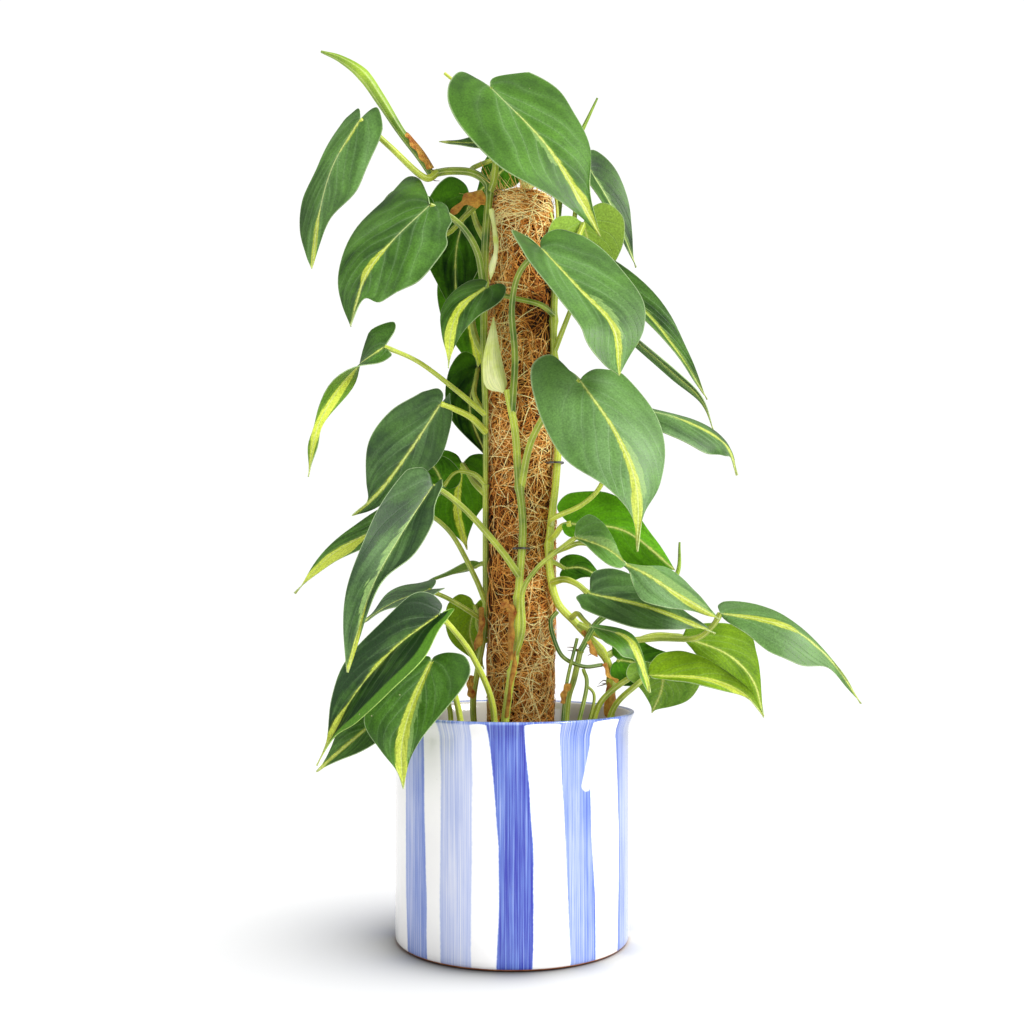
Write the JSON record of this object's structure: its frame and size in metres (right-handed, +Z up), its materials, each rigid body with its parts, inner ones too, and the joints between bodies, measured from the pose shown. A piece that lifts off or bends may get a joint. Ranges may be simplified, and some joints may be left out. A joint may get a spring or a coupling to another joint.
{
  "type": "potted climbing philodendron on a coir pole",
  "caption": "Heart-leaved climbing houseplant with lime-streaked drooping leaves, tied to a fibre pole in a striped white-glazed cylindrical pot.",
  "frame": {"origin": "centre of the pot's flat underside", "axes": "+Z up, -Y towards the viewer of the picture, the plant's front, +X to that viewer's right"},
  "size_m": [0.3427, 0.1828, 0.5606],
  "materials": {
    "glaze": "gloss",
    "soil": "matte",
    "coir": "matte",
    "wood": "matte",
    "stem": "satin",
    "leaf": "satin",
    "shoot": "satin",
    "pale_sheath": "matte",
    "dried_sheath": "matte",
    "wire": "satin"
  },
  "bodies": {
    "root": {"vine_front": "stem", "vine_left": "stem", "vine_right": "stem", "vine_back": "stem", "vine_side": "stem", "leaf_01": "leaf", "leaf_02": "leaf", "leaf_03": "leaf", "leaf_05": "leaf", "leaf_06": "leaf", "leaf_07": "leaf", "leaf_08": "leaf", "leaf_09": "leaf", "leaf_10": "leaf", "leaf_11": "leaf", "leaf_12": "leaf", "leaf_13": "leaf", "leaf_14": "leaf", "leaf_15": "leaf", "leaf_17": "leaf", "leaf_18": "leaf", "leaf_19": "leaf", "leaf_21": "leaf", "leaf_22": "leaf", "leaf_23": "leaf", "leaf_24": "leaf", "leaf_25": "leaf", "leaf_26": "leaf", "leaf_27": "leaf", "leaf_28": "leaf", "leaf_29": "leaf", "leaf_30": "leaf", "leaf_31": "leaf", "leaf_32": "leaf", "leaf_33": "leaf", "leaf_34": "leaf", "leaf_35": "leaf", "leaf_36": "leaf", "leaf_37": "leaf", "leaf_38": "leaf", "leaf_39": "leaf", "leaf_40": "leaf", "leaf_41": "leaf", "leaf_43": "leaf", "leaf_46": "leaf", "shoot_left": "shoot", "shoot_right": "shoot", "shoot_low": "shoot", "sheath_front": "pale_sheath", "sheath_left": "dried_sheath", "sheath_shoot": "dried_sheath", "sheath_pole": "pale_sheath", "sheath_low": "dried_sheath", "sheath_right": "dried_sheath", "pin_front": "wire", "pin_right": "wire", "coir_pole": "coir", "pole_stake": "wood", "pot": "glaze", "soil": "soil"}
  },
  "joints": []
}
